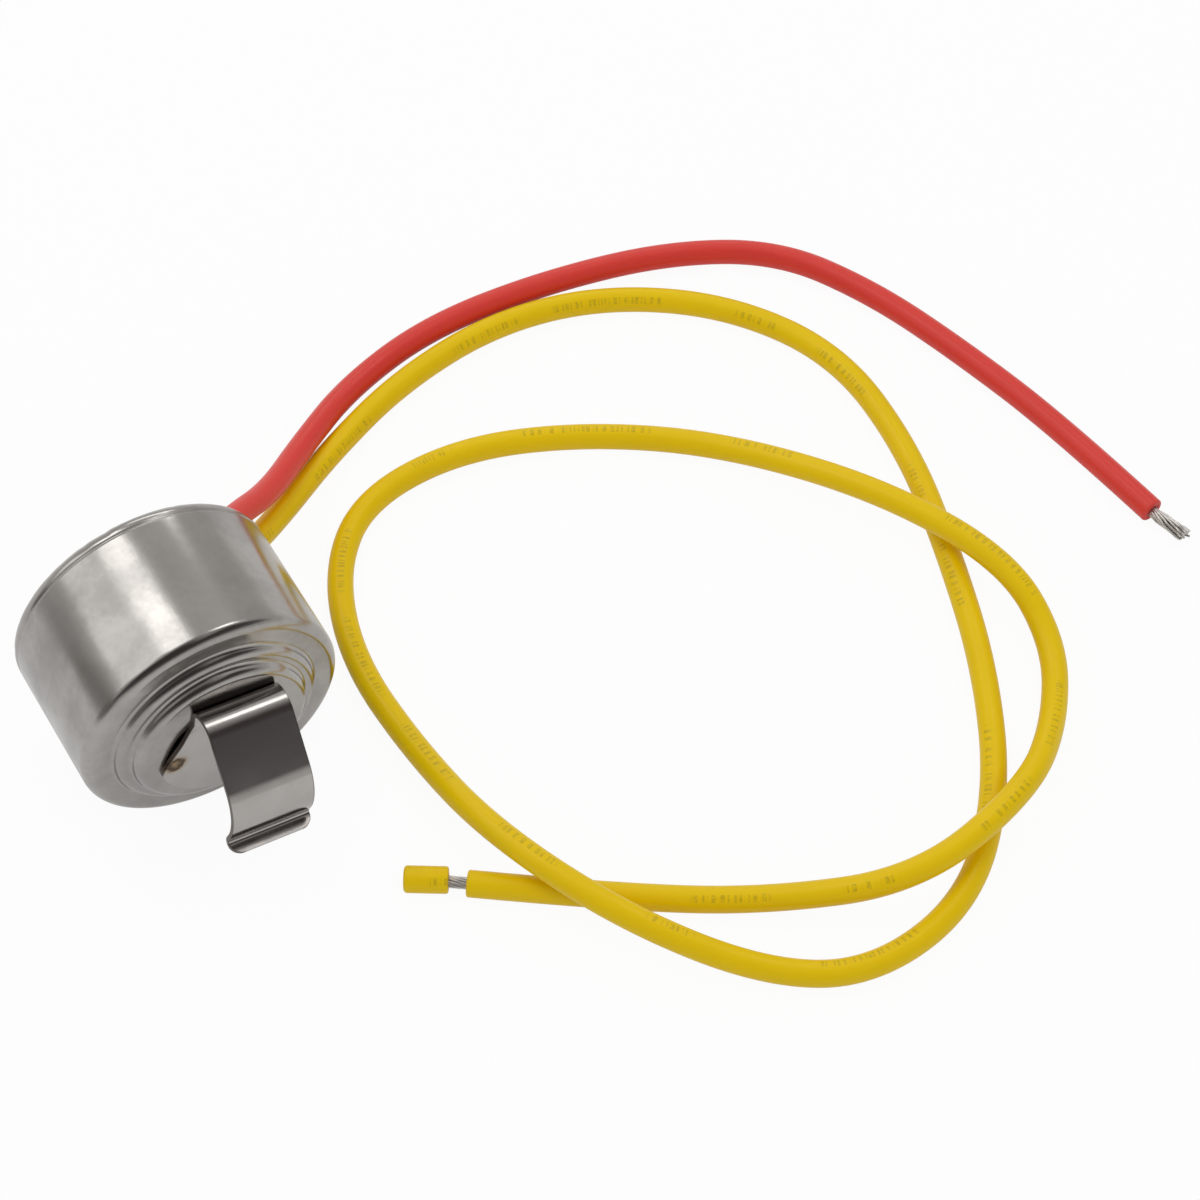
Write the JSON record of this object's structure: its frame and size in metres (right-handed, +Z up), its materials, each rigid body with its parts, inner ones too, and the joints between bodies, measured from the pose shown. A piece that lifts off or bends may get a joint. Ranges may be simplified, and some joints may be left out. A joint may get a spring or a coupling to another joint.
{
  "type": "defrost thermostat",
  "caption": "Sealed round metal thermostat can with a stepped sensing face, a spring clip that holds it on a tube, and loose red and yellow wire leads with stripped ends.",
  "frame": {"origin": "on the floor under the middle of the can and its tube clip, with the can lying on its side and the free leads left out", "axes": "+Z up; the can's axis lies along Y, its sensing face and clip towards -Y and its leads leaving towards +Y; +X to the right seen from the clip's side"},
  "size_m": [0.1176, 0.095, 0.0282],
  "materials": {
    "stainless_can": "drawn stainless steel, satin with soft draw marks",
    "spring_steel": "bright rolled spring steel",
    "bimetal": "rolled bimetal strip, dull",
    "phenolic": "moulded dark phenolic",
    "ceramic_pin": "unglazed steatite",
    "arm_alloy": "copper alloy spring strip",
    "contact_alloy": "silver alloy, polished",
    "brass_strip": "pressed brass, matte",
    "cover_board": "pressed insulating board",
    "liner_paper": "insulating paper sleeve",
    "resin": "cast epoxy, dull",
    "tinned_copper": "tinned copper strands",
    "yellow_pvc": "smooth yellow insulation, soft gloss",
    "red_pvc": "smooth red insulation, soft gloss"
  },
  "bodies": {
    "can": {"housing_can": "stainless_can", "tube_clip": "spring_steel", "bimetal_disc": "bimetal", "disc_retainer": "phenolic", "switch_base": "phenolic", "fixed_contact": "contact_alloy", "fixed_terminal": "brass_strip", "arm_terminal": "brass_strip", "arm_rivet": "brass_strip", "chamber_cover": "cover_board", "can_liner": "liner_paper", "sealing_resin": "resin", "red_crimped_end": "tinned_copper", "yellow_crimped_end": "tinned_copper", "yellow_lead": "yellow_pvc", "yellow_bare_end": "tinned_copper", "yellow_end_sleeve": "yellow_pvc", "red_lead": "red_pvc", "red_bare_end": "tinned_copper"},
    "pin": {"transfer_pin": "ceramic_pin"},
    "arm": {"contact_arm": "arm_alloy", "moving_contact": "contact_alloy"}
  },
  "joints": [
    {"name": "pin_travel", "type": "slide", "parent": "can", "child": "pin", "axis": [0, 1, 0], "range_m": [0, 0.0004]},
    {"name": "arm_flex", "type": "hinge", "parent": "can", "child": "arm", "pos_m": [0, 0.00303, 0.0227], "axis": [1, 0, 0], "range_deg": [0, 2.7], "stiffness_Nm_per_rad": 0.02}
  ],
  "couplings": [
    {"joint": "arm_flex", "follows": "pin_travel", "rad_per_m": 116.28}
  ]
}
